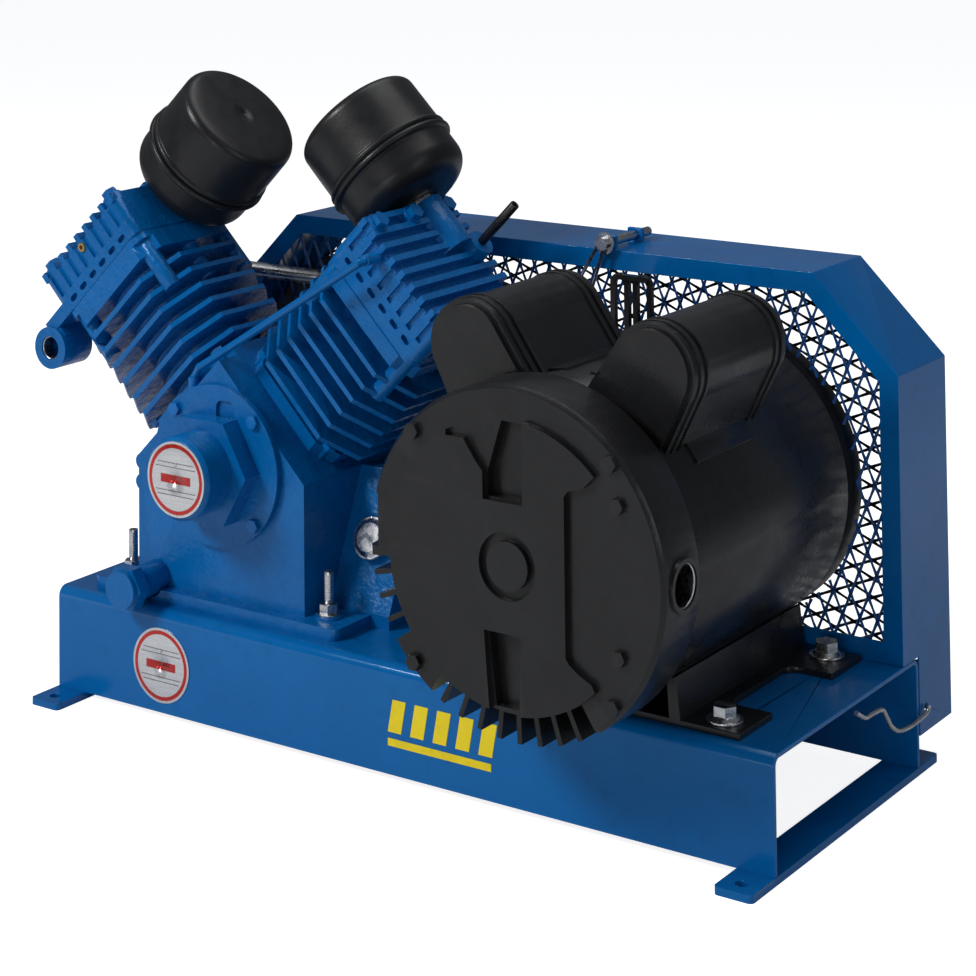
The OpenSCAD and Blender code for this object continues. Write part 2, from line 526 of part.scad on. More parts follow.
// ---------- motor ----------
module motor_shell() color(black) to_back(mx, bell_y1, mz) difference() {
  cylinder(r = shell_r, h = shell_y1 - bell_y1, $fn = 96);
  translate([0, 0, -1]) cylinder(r = shell_r - 3, h = 300, $fn = 96);
}
module stator_core() color(steel) to_back(mx, -110, mz) difference() {
  cylinder(r = shell_r - 3.05, h = 140);
  translate([0, 0, -1]) cylinder(r = 70, h = 150);
}
module stator_windings() color([0.6, 0.3, 0.15]) for (y = [-138, 30.1]) to_back(mx, y, mz) difference() {
  cylinder(r = 108, h = 27.8);
  translate([0, 0, -1]) cylinder(r = 76, h = 40);
}
module motor_front_bell() color(black) {
  difference() {
    union() {
      to_front(mx, bell_y1, mz) cylinder(r = bell_r, h = 46, $fn = 96);
      to_front(mx, bell_y1 - 46, mz) cylinder(r1 = bell_r, r2 = bell_r - 3, h = 4, $fn = 96);
      // raised middle plate of the face
      to_front(mx, bell_y0 + 6, mz) linear_extrude(6) difference() {
        circle(107, $fn = 96);
        polygon([[50, -57], [50, 58], [53, 62], [66, 66], [74, 74], [84, 84], [150, 84], [150, -84], [78, -84], [72, -72], [60, -66], [53, -61]]);
        polygon([[-54, 130], [-54, 88], [-38, 88], [-28, 74], [-21, 66], [-21, 46], [14, 46], [14, 130]]);
        polygon([[-21, -49], [12, -49], [9, -130], [-15, -130]]);
        difference() { circle(25); circle(18); }
      }
      // conduit boss
      translate([mx + 104, -193, mz]) rotate([0, 90, 0]) cylinder(r = 19.5, h = 28);
    }
    // hollow inside
    to_front(mx, bell_y1 + 1, mz) cylinder(r = 101, h = 36);
    // the rim is open behind the lower fins
    for (a = [[186, 215], [235, 304]]) to_front(mx, bell_y1 - 14, mz) linear_extrude(60) difference() {
      polygon([[0, 0], [190 * cos(a[0]), 190 * sin(a[0])], [190 * cos((a[0] + a[1]) / 2), 190 * sin((a[0] + a[1]) / 2)], [190 * cos(a[1]), 190 * sin(a[1])]]);
      circle(107.5, $fn = 96);
    }
    // top and bottom pockets
    to_front(mx, bell_y0 + 13, mz) linear_extrude(9) polygon([[-20, 64], [-20, 47.5], [12.5, 47.5], [12.5, 104], [-7, 104]]);
    to_front(mx, bell_y0 + 14, mz) linear_extrude(9) polygon([[-19.5, -51], [10.5, -51], [7.5, -104], [-13.5, -104]]);
    // flat on the left side
    to_front(mx, bell_y1 - 20, mz) translate([-bell_r - 4, -6, 0]) cube([13, 40, 60]);
    for (i = [-1, 1], j = [-1, 1]) to_front(mx + i * 87, bell_y1 - 36, mz + j * 86) cylinder(r = 3.2, h = 30);
    for (z = [57, -50]) to_front(mx + 93, bell_y1 - 40, mz + z) cylinder(r = 2.6, h = 22);
    translate([mx + 96, -193, mz]) rotate([0, 90, 0]) cylinder(r = conduit_r, h = 60);
  }
  // cooling fins in the openings of the rim
  for (a = [192, 200, 208, 240, 248, 256, 264, 272, 280, 288, 296]) to_front(mx, bell_y1 - 13, mz) rotate([0, 0, a])
    translate([104, -2, 0]) cube([25.5, 4, 34]);
  // bearing seat
  to_front(mx, -188, mz) difference() {
    cylinder(r = 45, h = 22);
    translate([0, 0, -1]) cylinder(r = 36, h = 20);
  }
}
module motor_rear_bell() color(black) difference() {
  union() {
    to_back(mx, shell_y1, mz) cylinder(r = shell_r - 1, h = rear_y1 - shell_y1 - 8, $fn = 96);
    to_back(mx, rear_y1 - 8, mz) cylinder(r1 = shell_r - 1, r2 = shell_r - 10, h = 8, $fn = 96);
  }
  to_back(mx, shell_y1 - 1, mz) difference() {
    cylinder(r = shell_r - 12, h = 28);
    cylinder(r = 48, h = 40);
  }
  to_back(mx, shell_y1 - 1, mz) cylinder(r = 40, h = 28);
  to_back(mx, shell_y1 - 1, mz) cylinder(r = 22, h = 60);
  for (i = [-1, 1], j = [-1, 1]) to_back(mx + i * 78, shell_y1 - 1, mz + j * 77) cylinder(r = 3.4, h = 60);
  for (a = [0 : 30 : 330]) to_back(mx, rear_y1 - 12, mz) rotate([0, 0, a + 15]) translate([64, -6, 0]) cube([34, 12, 20]);
}
module motor_through_bolts() {
  color(black) for (i = [-1, 1], j = [-1, 1]) to_front(mx + i * 87, bell_y0 + 5, mz + j * 86) {
    hexa(6.4, 4.5);
    translate([0, 0, -13]) cylinder(r = 3.1, h = 13.01);
  }
  for (z = [57, -50]) color(z > 0 ? [0.6, 0.5, 0.25] : black) to_front(mx + 93, bell_y0 + 5, mz + z) {
    hexa(6, 4.5);
    translate([0, 0, -8]) cylinder(r = 2.5, h = 8.01);
  }
}
module rotor_shaft() color(steel) {
  to_back(mx, -204, mz) cylinder(r = shaft_r, h = 204 + 181);
  to_back(mx, -110, mz) cylinder(r = 69.4, h = 140);
  for (y = [-120, 30]) to_back(mx, y, mz) cylinder(r = 60, h = 10);
  for (a = [0 : 40 : 320]) to_back(mx, 40, mz) rotate([0, 0, a]) translate([20, -1.5, 0]) cube([38, 3, 22]);
}
module motor_pulley() color([0.14, 0.14, 0.15]) to_back(mx, drive_y, mz) difference() {
  sheave(pulley_r, 42);
  cylinder(r = shaft_r + 0.02, h = 60, center = true);
  translate([0, 0, 21]) difference() { cylinder(r = 36, h = 16, center = true); cylinder(r = 25, h = 20, center = true); }
}
// flat loop round the two pulleys
module loop2d(R1, R2) {
  hull() {
    circle(R1, $fn = 90);
    translate([mx - px, mz - pz]) circle(R2, $fn = 60);
  }
}
module v_belts() color([0.1, 0.1, 0.1]) for (k = [-1, 1]) to_front(px, drive_y + k * groove / 2 + 5.8, pz) linear_extrude(11.6) difference() {
  loop2d(flywheel_r - 0.8, pulley_r - 0.8);
  loop2d(flywheel_r - 11, pulley_r - 11);
}
module cap2d(r, w) {
  difference() {
    union() {
      translate([0, 160]) circle(r);
      polygon([[-w, 104], [w, 104], [r, 160], [-r, 160]]);
    }
    circle(shell_r + 0.05, $fn = 96);
  }
}
module capacitor_covers() color(black) for (i = [-1, 1]) to_front(mx, -3.5, mz) rotate([0, 0, i * -31]) difference() {
  union() {
    linear_extrude(4) cap2d(32, 36);
    translate([0, 0, 4]) linear_extrude(145) cap2d(36, 40);
    translate([0, 0, 149]) linear_extrude(4) cap2d(32, 36);
    for (z = [10, 20, 128, 138]) translate([0, 0, z]) linear_extrude(4) cap2d(37.5, 41.5);
    // side flanges with their screws
    translate([0, 0, 30]) linear_extrude(90) difference() {
      translate([-54, 100]) square([108, 30]);
      circle(shell_r + 0.05, $fn = 96);
      difference() { circle(200); circle(shell_r + 2.2, $fn = 96); }
    }
  }
  translate([0, 0, 3]) linear_extrude(147) difference() {
    translate([0, 160]) circle(30);
  }
  translate([0, 0, 6]) linear_extrude(141) polygon([[-28, 132], [28, 132], [28, 160], [-28, 160]]);
}
module capacitors() color([0.15, 0.15, 0.17]) for (i = [-1, 1]) to_front(mx, -20, mz) rotate([0, 0, i * -31])
  translate([0, 160, 0]) { cylinder(r = 26, h = 110); translate([0, 0, 110]) cylinder(r = 12, h = 8); }
module lifting_eye() color(black) difference() {
  union() {
    translate([mx - 82, 52, mz + 88]) cube([44, 16, 20]);
    for (dx = [-72, -50]) translate([mx + dx, 60, mz + 134]) rotate([90, 0, 0]) linear_extrude(5, center = true) difference() {
      rrect(18, 54, 8.5);
      rrect(9, 44, 4.4);
    }
    translate([mx - 76, 56, mz + 156]) cube([32, 8, 4]);
  }
  to_back(mx, 40, mz) cylinder(r = shell_r + 0.05, h = 40, $fn = 96);
}
module motor_foot() color(black) difference() {
  union() {
    translate([mx - 130, -113, base_h]) cube([260, 205, 5]);
    translate([mx, 92, 0]) rotate([90, 0, 0]) linear_extrude(205) for (i = [0, 1]) mirror([i, 0, 0])
      polygon([[70, base_h + 1], [80, base_h + 1], [76, base_h + 36], [68, base_h + 36]]);
  }
  to_back(mx, -150, mz) cylinder(r = shell_r + 0.05, h = 300, $fn = 96);
  for (i = [-1, 1], y = [-95.5, 74.5]) translate([mx + i * motor_e, y, base_h - 1]) cylinder(r = 6.2, h = 10);
  for (i = [-1, 1]) translate([mx + i * 122, -10.5, base_h - 1]) linear_extrude(10) rrect(60, 100, 12);
}
module motor_foot_bolts() color(zinc) for (i = [-1, 1], y = [-95.5, 74.5]) translate([mx + i * motor_e, y, base_h + 5]) {
  cylinder(r = 14, h = 2.2);
  translate([0, 0, 2.2]) cylinder(r1 = 11.5, r2 = 9.5, h = 2.5);
  translate([0, 0, 4.7]) hexa(9.6, 7.5);
  translate([0, 0, -26]) cylinder(r = 5.9, h = 26.01);
  translate([0, 0, -5 - base_t - 10]) difference() { hexa(10.5, 10); translate([0, 0, -1]) cylinder(r = 5.95, h = 12); }
}

// ---------- belt guard ----------
cl = 96;   // cut corner, left
cr = 75;   // cut corner, right
module guard2d(m, lo) {
  k = m * (sqrt(2) - 1);
  w = base_l / 2;
  polygon([[-w + m, lo], [w - m, lo], [w - m, guard_top - cr - k], [w - cr - k, guard_top - m],
           [-w + cl + k, guard_top - m], [-w + m, guard_top - cl - k]]);
}
module guard_frame() color(blue) difference() {
  union() {
    to_back(0, gy0, 0) mirror([0, 1, 0]) linear_extrude(guard_t) difference() {
      guard2d(0, base_h);
      guard2d(guard_frame_w, base_h + 17);
    }
    to_back(0, gy0, 0) mirror([0, 1, 0]) linear_extrude(gy1 - gy0) difference() {
      guard2d(0, 30);
      guard2d(guard_t, 20);
    }
    to_back(0, gy1 - guard_t, 0) mirror([0, 1, 0]) linear_extrude(guard_t) difference() {
      guard2d(0, 30);
      guard2d(guard_frame_w, 47);
    }
    // lugs of the top pin
    for (y = [gy0 + 1, gy0 + 46]) translate([77, y, guard_top - 1]) cube([15, 4, 13]);
  }
  translate([-400, gy0 - 1, 0]) cube([800, 127 - gy0 + 1, base_h]);
  to_back(mx, gy0 - 2, mz) cylinder(r = shell_r + 3, h = 10, $fn = 96);
  to_back(84.5, gy0 - 5, guard_top + 6) cylinder(r = 4.1, h = 70);
  // clip hole in the right wall
  translate([base_l / 2 - 5, 139, 50]) rotate([0, 90, 0]) cylinder(r = 3, h = 10);
}
module guard_mesh_front() color([0.05, 0.2, 0.45]) to_back(0, gy0 + guard_t + 0.05, 0) mirror([0, 1, 0]) linear_extrude(1.4) difference() {
    guard2d(guard_frame_w - 4, base_h + 13);
    translate([mx, mz]) circle(shell_r + 5, $fn = 96);
    translate([px, pz]) circle(46);
  }
module guard_mesh_rear() color(black) to_back(0, gy1 - guard_t - 1.45, 0) mirror([0, 1, 0]) linear_extrude(1.4) guard2d(guard_frame_w - 4, 43);
module guard_pin() color(zinc) {
  to_back(84.5, gy0 - 5, guard_top + 6) cylinder(r = 4, h = 74);
  to_back(84.5, gy0 - 6.5, guard_top + 6) cylinder(r = 9.5, h = 2.4);
  to_front(84.5, gy0 - 6, guard_top + 6) cylinder(r = 5.5, h = 5);
  bar([81, gy0 - 9, guard_top + 6], [61, gy0 - 9, guard_top - 26], 1.7);
  bar([87, gy0 - 9, guard_top + 5], [73, gy0 - 9, guard_top - 34], 1.7);
}
module hairpin_clip() color(zinc) {
  x = base_l / 2 + 3.2;
  wire([[x, 4, 86], [x, 24, 77], [x, 50, 75], [x, 72, 54], [x, 90, 47], [x, 118, 46], [x, 139, 50]], 1.9);
  bar([base_l / 2 - 8, 139, 50], [x, 139, 50], 1.7);
}

base_channel();
foot_bars();
badges();
decal_bars();
crankcase();
front_cover();
cover_screws();
bearing_cap();
crankcase_studs();
drain_pipe();
drain_cap();
oil_sight_glass();
breather_tube();
cylinder_left();
cylinder_right();
cylinder_bolts();
valve_plates();
head_left();
head_right();
head_bolts();
port_plug();
unloader_stub();
crossover_tube();
intake_nipples();
filter_base_left();
filter_base_right();
filter_cover_left();
filter_cover_right();
filter_elements();
ball_bearings();
bearing_carrier();
crankshaft();
flywheel();
rod_left();
rod_right();
piston_left();
piston_right();
wrist_pin_left();
wrist_pin_right();
piston_rings_left();
piston_rings_right();
motor_shell();
stator_core();
stator_windings();
motor_front_bell();
motor_rear_bell();
motor_through_bolts();
rotor_shaft();
motor_pulley();
v_belts();
capacitor_covers();
capacitors();
lifting_eye();
motor_foot();
motor_foot_bolts();
guard_frame();
guard_mesh_front();
guard_mesh_rear();
guard_pin();
hairpin_clip();
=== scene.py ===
import bpy, bmesh, math, random
from mathutils import Vector, Matrix
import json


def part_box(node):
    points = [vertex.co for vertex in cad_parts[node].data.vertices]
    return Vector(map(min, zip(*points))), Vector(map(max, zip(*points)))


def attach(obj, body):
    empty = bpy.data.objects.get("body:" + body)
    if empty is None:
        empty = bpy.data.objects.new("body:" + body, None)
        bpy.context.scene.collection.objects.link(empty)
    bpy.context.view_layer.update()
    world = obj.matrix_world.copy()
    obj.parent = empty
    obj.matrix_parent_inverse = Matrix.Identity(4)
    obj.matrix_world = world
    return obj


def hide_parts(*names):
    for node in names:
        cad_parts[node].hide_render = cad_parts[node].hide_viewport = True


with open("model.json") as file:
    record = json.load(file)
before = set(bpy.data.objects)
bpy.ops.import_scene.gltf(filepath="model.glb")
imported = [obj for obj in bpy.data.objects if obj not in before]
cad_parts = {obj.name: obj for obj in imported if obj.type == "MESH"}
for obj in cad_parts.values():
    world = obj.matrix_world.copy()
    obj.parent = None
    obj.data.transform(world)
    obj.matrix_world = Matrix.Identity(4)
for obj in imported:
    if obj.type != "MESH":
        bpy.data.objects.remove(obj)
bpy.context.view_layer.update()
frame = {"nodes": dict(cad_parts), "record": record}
N = frame["nodes"]
random.seed(7)
C45 = math.sqrt(0.5)


# ------------------------------------------------------------------ shader helpers
class Net:
    def __init__(self, name):
        self.m = bpy.data.materials.new(name)
        self.m.use_nodes = True
        self.t = self.m.node_tree
        self.t.nodes.clear()
        self.out = self.t.nodes.new("ShaderNodeOutputMaterial")
        self.b = self.t.nodes.new("ShaderNodeBsdfPrincipled")
        self.t.links.new(self.b.outputs[0], self.out.inputs[0])
        self.co = self.t.nodes.new("ShaderNodeTexCoord").outputs["Object"]

    def set(self, key, value):
        s = self.b.inputs[key]
        if isinstance(value, (int, float)):
            s.default_value = value
        elif isinstance(value, (tuple, list)):
            s.default_value = (*value, 1.0) if len(value) == 3 else value
        else:
            self.t.links.new(value, s)

    def node(self, kind, **props):
        n = self.t.nodes.new(kind)
        for k, v in props.items():
            setattr(n, k, v)
        return n

    def put(self, sock, value):
        if isinstance(value, (int, float)):
            sock.default_value = value
        elif isinstance(value, (tuple, list)):
            sock.default_value = (*value, 1.0) if len(value) == 3 and len(sock.default_value) == 4 else value
        else:
            self.t.links.new(value, sock)

    def noise(self, scale, detail=3.0, rough=0.5, distort=0.0, stretch=None):
        n = self.node("ShaderNodeTexNoise")
        co = self.co
        if stretch:
            mp = self.node("ShaderNodeMapping")
            mp.inputs["Scale"].default_value = stretch
            self.t.links.new(co, mp.inputs["Vector"])
            co = mp.outputs[0]
        self.t.links.new(co, n.inputs["Vector"])
        n.inputs["Scale"].default_value = scale
        n.inputs["Detail"].default_value = detail
        n.inputs["Roughness"].default_value = rough
        n.inputs["Distortion"].default_value = distort
        return n.outputs["Fac"]

    def voronoi(self, scale, feature="F1"):
        n = self.node("ShaderNodeTexVoronoi", feature=feature)
        self.t.links.new(self.co, n.inputs["Vector"])
        n.inputs["Scale"].default_value = scale
        return n.outputs["Distance"]

    def remap(self, v, a, b, c, d, smooth=True):
        n = self.node("ShaderNodeMapRange", interpolation_type="SMOOTHSTEP" if smooth else "LINEAR")
        n.clamp = True if not smooth else n.clamp
        self.t.links.new(v, n.inputs[0])
        for i, x in enumerate((a, b, c, d)):
            n.inputs[i + 1].default_value = x
        return n.outputs[0]

    def math(self, op, a, b=0.0):
        n = self.node("ShaderNodeMath", operation=op)
        self.put(n.inputs[0], a)
        self.put(n.inputs[1], b)
        return n.outputs[0]

    def mix(self, fac, a, b):
        n = self.node("ShaderNodeMix", data_type="RGBA")
        self.put(n.inputs[0], fac)
        for s, v in ((n.inputs[6], a), (n.inputs[7], b)):
            if isinstance(v, (tuple, list)):
                s.default_value = (*v, 1.0) if len(v) == 3 else v
            else:
                self.t.links.new(v, s)
        return n.outputs[2]

    def edge(self, lo=0.52, hi=0.62):
        g = self.node("ShaderNodeNewGeometry")
        return self.remap(g.outputs["Pointiness"], lo, hi, 0.0, 1.0)

    def bump(self, height, strength, distance, under=None):
        n = self.node("ShaderNodeBump")
        n.inputs["Strength"].default_value = strength
        n.inputs["Distance"].default_value = distance
        self.t.links.new(height, n.inputs["Height"])
        if under is not None:
            self.t.links.new(under, n.inputs["Normal"])
        return n.outputs[0]


def paint(name, base, second, rough, cast=0.0, fine=0.0, coat=0.0, chip=None, chip_amount=0.0, dust=0.0, dust_col=(0.3, 0.3, 0.3), painted_edge_highlight=0.0):
    """Enamel or paint over metal: colour drifts slowly, the film has orange peel, castings show their sand texture,
    edges chip; a painted highlight lightens convex edges.
    """
    k = Net(name)
    slow = k.noise(9.0, 4.0, 0.6)
    col = k.mix(k.remap(slow, 0.35, 0.68, 0.0, 1.0), base, second)
    mottle = k.noise(60.0, 5.0, 0.65)
    dark = tuple(x * 0.72 for x in base)
    col = k.mix(k.math("MULTIPLY", k.remap(mottle, 0.5, 0.75, 0.0, 1.0), 0.45), col, dark)
    rv = k.remap(k.noise(38.0, 6.0, 0.6), 0.3, 0.7, rough[0], rough[1])
    e = k.edge()
    if painted_edge_highlight:
        # painted highlight: convex edges (pointiness) are mixed toward a brighter copy of the base colour
        col = k.mix(k.math("MULTIPLY", e, painted_edge_highlight), col, tuple(min(1.0, x * 1.9 + 0.01) for x in base))
    if chip is not None:
        spots = k.noise(170.0, 6.0, 0.7)
        where = k.math("MULTIPLY", e, k.remap(spots, 0.70 - chip_amount, 0.75 - chip_amount, 0.0, 1.0))
        col = k.mix(where, col, chip)
        rv = k.math("ADD", rv, k.math("MULTIPLY", where, 0.25))
    if dust:
        g = k.node("ShaderNodeNewGeometry")
        sep = k.node("ShaderNodeSeparateXYZ")
        k.t.links.new(g.outputs["Normal"], sep.inputs[0])
        up = k.remap(sep.outputs[2], 0.55, 1.0, 0.0, 1.0)
        d = k.math("MULTIPLY", k.math("MULTIPLY", up, k.remap(k.noise(24.0, 5.0, 0.7), 0.4, 0.75, 0.0, 1.0)), dust)
        col = k.mix(d, col, dust_col)
        rv = k.math("ADD", rv, k.math("MULTIPLY", d, 0.5))
    k.set("Base Color", col)
    k.set("Roughness", rv)
    k.set("Specular IOR Level", 0.32)
    if base[2] > 0.1 and base[0] < 0.01:
        k.set("Specular Tint", (0.35, 0.65, 1.0))   # the pigment shows through the thin clear film
    if coat:
        k.set("Coat Weight", coat * 0.36)
        k.set("Coat Roughness", k.remap(k.noise(55.0, 4.0, 0.5), 0.35, 0.7, 0.04, 0.16))
    n = None
    if cast:
        n = k.bump(k.noise(260.0, 5.0, 0.6), cast, 0.0016, n)
        n = k.bump(k.noise(70.0, 3.0, 0.5), cast * 0.9, 0.0035, n)
    if fine:
        n = k.bump(k.noise(900.0, 2.0, 0.5), fine, 0.0004, n)
        n = k.bump(k.noise(22.0, 2.0, 0.4), fine * 0.6, 0.004, n)
    if n is not None:
        k.set("Normal", n)
        if coat:
            k.set("Coat Normal", n)
    return k.m


def metal(name, base, second, rough, bump=0.2, brushed=None, tint=None):
    k = Net(name)
    cloud = k.noise(80.0, 6.0, 0.65)
    col = k.mix(k.remap(cloud, 0.35, 0.7, 0.0, 1.0), base, second)
    if tint:
        col = k.mix(k.math("MULTIPLY", k.remap(k.noise(35.0, 4.0, 0.6), 0.5, 0.7, 0.0, 1.0), 0.6), col, tint)
    k.set("Base Color", col)
    k.set("Metallic", 1.0)
    k.set("Roughness", k.remap(k.noise(120.0, 5.0, 0.6), 0.3, 0.7, rough[0], rough[1]))
    n = k.bump(k.noise(500.0, 3.0, 0.5), bump, 0.0004)
    if brushed:
        n = k.bump(k.noise(300.0, 2.0, 0.5, 0.0, brushed), 0.35, 0.0002, n)
    k.set("Normal", n)
    return k.m


M = {}
BLUE, BLUE2 = (0.0001, 0.110, 0.355), (0.0002, 0.125, 0.395)
M["cast"] = paint("blue_enamel_casting", BLUE, BLUE2, (0.16, 0.34), cast=0.34, coat=0.8, chip=(0.17, 0.19, 0.2), chip_amount=0.02, dust=0.05, dust_col=(0.03, 0.11, 0.26), painted_edge_highlight=0.12)
M["sheet"] = paint("blue_enamel_sheet", BLUE, BLUE2, (0.14, 0.26), fine=0.16, coat=0.7, chip=(0.16, 0.17, 0.18), chip_amount=0.0, dust=0.04, dust_col=(0.04, 0.12, 0.26), painted_edge_highlight=0.15)
M["small"] = paint("blue_enamel_small", BLUE, BLUE2, (0.15, 0.3), cast=0.12, coat=0.8, chip=(0.3, 0.3, 0.3), chip_amount=0.05, painted_edge_highlight=0.3)
M["black"] = paint("motor_black_paint", (0.0075, 0.0078, 0.0085), (0.012, 0.0125, 0.0135), (0.24, 0.38), cast=0.05, fine=0.2, coat=0.5, chip=(0.06, 0.06, 0.06), chip_amount=0.02, dust=0.08, dust_col=(0.03, 0.03, 0.033), painted_edge_highlight=0.3)
M["black_cast"] = paint("motor_black_casting", (0.0075, 0.0078, 0.0085), (0.0115, 0.012, 0.013), (0.28, 0.42), cast=0.12, coat=0.3, chip=(0.07, 0.07, 0.07), chip_amount=0.03, dust=0.08, dust_col=(0.03, 0.03, 0.033), painted_edge_highlight=0.4)
M["filter"] = paint("filter_black_paint", (0.0085, 0.0088, 0.0095), (0.013, 0.0135, 0.0145), (0.3, 0.44), fine=0.4, coat=0.25, chip=(0.08, 0.08, 0.08), chip_amount=0.0, dust=0.12, dust_col=(0.03, 0.03, 0.034), painted_edge_highlight=0.3)
M["zinc"] = metal("zinc_plate", (0.62, 0.63, 0.65), (0.45, 0.46, 0.49), (0.18, 0.38), 0.25, tint=(0.62, 0.58, 0.45))
M["steel"] = metal("machined_steel", (0.52, 0.53, 0.55), (0.36, 0.37, 0.39), (0.2, 0.4), 0.2, brushed=(1, 14, 1))
M["iron"] = paint("dark_cast_iron", (0.012, 0.013, 0.015), (0.02, 0.021, 0.024), (0.4, 0.6), cast=0.3, chip=(0.12, 0.1, 0.08), chip_amount=0.03)
M["ring"] = metal("ring_iron", (0.18, 0.18, 0.19), (0.12, 0.12, 0.13), (0.3, 0.5), 0.2)
M["alu"] = metal("cast_aluminium", (0.66, 0.67, 0.69), (0.5, 0.51, 0.53), (0.3, 0.5), 0.5)
M["brass"] = metal("worn_brass", (0.62, 0.43, 0.16), (0.35, 0.24, 0.1), (0.25, 0.45), 0.3)
M["dark_steel"] = metal("blackened_steel", (0.05, 0.05, 0.055), (0.09, 0.08, 0.075), (0.3, 0.5), 0.4)
M["rubber"] = paint("belt_rubber", (0.008, 0.008, 0.008), (0.014, 0.014, 0.014), (0.6, 0.8), fine=0.5)
M["paper"] = paint("filter_paper", (0.62, 0.56, 0.38), (0.55, 0.48, 0.3), (0.7, 0.9), fine=0.5)
M["copper"] = paint("winding_varnish", (0.35, 0.11, 0.03), (0.25, 0.07, 0.02), (0.2, 0.35), fine=0.4, coat=0.6)
M["bakelite"] = paint("capacitor_case", (0.01, 0.01, 0.011), (0.016, 0.016, 0.018), (0.3, 0.45), fine=0.2)
M["yellow"] = paint("decal_yellow", (0.88, 0.66, 0.005), (0.92, 0.72, 0.01), (0.18, 0.3), fine=0.1, coat=0.4)
M["mesh_blue"] = paint("mesh_blue_enamel", (0.002, 0.035, 0.15), (0.003, 0.05, 0.2), (0.2, 0.4), fine=0.3, coat=0.5, painted_edge_highlight=0.3)
# painted shade: the rear mesh is coloured near-black to stand in for the shade inside the guard
M["rear_mesh_painted_shade"] = paint("rear_mesh_painted_shade_enamel", (0.004, 0.006, 0.014), (0.006, 0.01, 0.022), (0.3, 0.5), fine=0.3)
M["badge_rim"] = metal("badge_aluminium", (0.75, 0.76, 0.78), (0.62, 0.63, 0.65), (0.2, 0.35), 0.1)


def badge_face():
    """Pale disc with a red ring, thin grey rules and a blank name plate; generic, no lettering."""
    k = Net("badge_print")
    sep = k.node("ShaderNodeSeparateXYZ")
    k.t.links.new(k.co, sep.inputs[0])
    x, y = sep.outputs[0], sep.outputs[1]
    r = k.math("SQRT", k.math("ADD", k.math("MULTIPLY", x, x), k.math("MULTIPLY", y, y)))
    def band(v, a, b, soft=0.0002):
        return k.math("MULTIPLY", k.remap(v, a - soft, a + soft, 0, 1), k.remap(v, b - soft, b + soft, 1, 0))
    metal_col = k.mix(k.noise(700.0, 2.0, 0.5, 0.0, (0.05, 1.0, 1.0)), (0.52, 0.53, 0.55), (0.78, 0.79, 0.8))
    col = k.mix(band(r, 0.0262, 0.0295), metal_col, (0.55, 0.018, 0.012))
    inside = k.remap(r, 0.0240, 0.0244, 1, 0)
    for y0 in (-0.0135, -0.0098, 0.0098, 0.0135):
        col = k.mix(k.math("MULTIPLY", band(y, y0 - 0.0004, y0 + 0.0004), inside), col, (0.16, 0.16, 0.18))
    # a blank red name bar
    bar = k.math("MULTIPLY", band(y, -0.0036, 0.0036), band(x, -0.0165, 0.0165))
    col = k.mix(k.math("MULTIPLY", bar, inside), col, (0.5, 0.02, 0.015))
    k.set("Base Color", col)
    k.set("Metallic", 0.55)
    k.set("Roughness", k.remap(k.noise(200.0, 3.0, 0.5), 0.3, 0.7, 0.22, 0.38))
    k.set("Coat Weight", 0.4)
    k.set("Normal", k.bump(k.noise(500.0, 2.0, 0.5), 0.08, 0.0003))
    return k.m


M["badge"] = badge_face()

NODE_MAT = {}
for names, key in (
    ("base_channel guard_frame foot_bars", "sheet"),
    ("crankcase front_cover bearing_cap cylinder_left cylinder_right head_left head_right bearing_carrier drain_pipe drain_cap", "cast"),
    ("cover_screws cylinder_bolts head_bolts breather_tube", "small"),
    ("badges", "badge_rim"), ("decal_bars", "yellow"), ("valve_plates", "cast"),
    ("crankcase_studs oil_sight_glass intake_nipples motor_foot_bolts guard_pin hairpin_clip", "zinc"),
    ("crossover_tube ball_bearings crankshaft wrist_pin_left wrist_pin_right rotor_shaft stator_core", "steel"),
    ("piston_rings_left piston_rings_right", "ring"), ("port_plug", "brass"), ("unloader_stub", "dark_steel"),
    ("filter_base_left filter_base_right filter_cover_left filter_cover_right", "filter"),
    ("filter_elements", "paper"), ("flywheel motor_pulley", "iron"),
    ("rod_left rod_right piston_left piston_right", "alu"),
    ("motor_shell capacitor_covers lifting_eye motor_foot", "black"),
    ("motor_front_bell motor_rear_bell motor_through_bolts", "black_cast"),
    ("stator_windings", "copper"), ("capacitors", "bakelite"), ("v_belts", "rubber"),
    ("guard_mesh_front", "mesh_blue"), ("guard_mesh_rear", "rear_mesh_painted_shade"),
):
    for n in names.split():
        NODE_MAT[n] = key

# edge rounding per node, in metres
BEVEL = {"base_channel": 0.0009, "guard_frame": 0.0006, "foot_bars": 0.0009, "crankcase": 0.0026, "front_cover": 0.0018,
         "bearing_cap": 0.0020, "cylinder_left": 0.0014, "cylinder_right": 0.0014, "head_left": 0.0014, "head_right": 0.0014,
         "bearing_carrier": 0.0015, "drain_pipe": 0.001, "drain_cap": 0.0014, "cover_screws": 0.0007, "cylinder_bolts": 0.0008,
         "head_bolts": 0.0009, "crankcase_studs": 0.0003, "oil_sight_glass": 0.001, "intake_nipples": 0.0008, "motor_foot_bolts": 0.0006,
         "motor_front_bell": 0.0020, "motor_rear_bell": 0.0020, "motor_through_bolts": 0.0006, "motor_foot": 0.0014, "motor_shell": 0.0005,
         "capacitor_covers": 0.003, "lifting_eye": 0.0012, "flywheel": 0.0012, "motor_pulley": 0.001, "unloader_stub": 0.0004,
         "port_plug": 0.0004, "piston_left": 0.0005, "piston_right": 0.0005, "rod_left": 0.001, "rod_right": 0.001}
SEGMENTS = {"crankcase": 3, "bearing_cap": 3, "motor_front_bell": 3, "front_cover": 3, "capacitor_covers": 3}

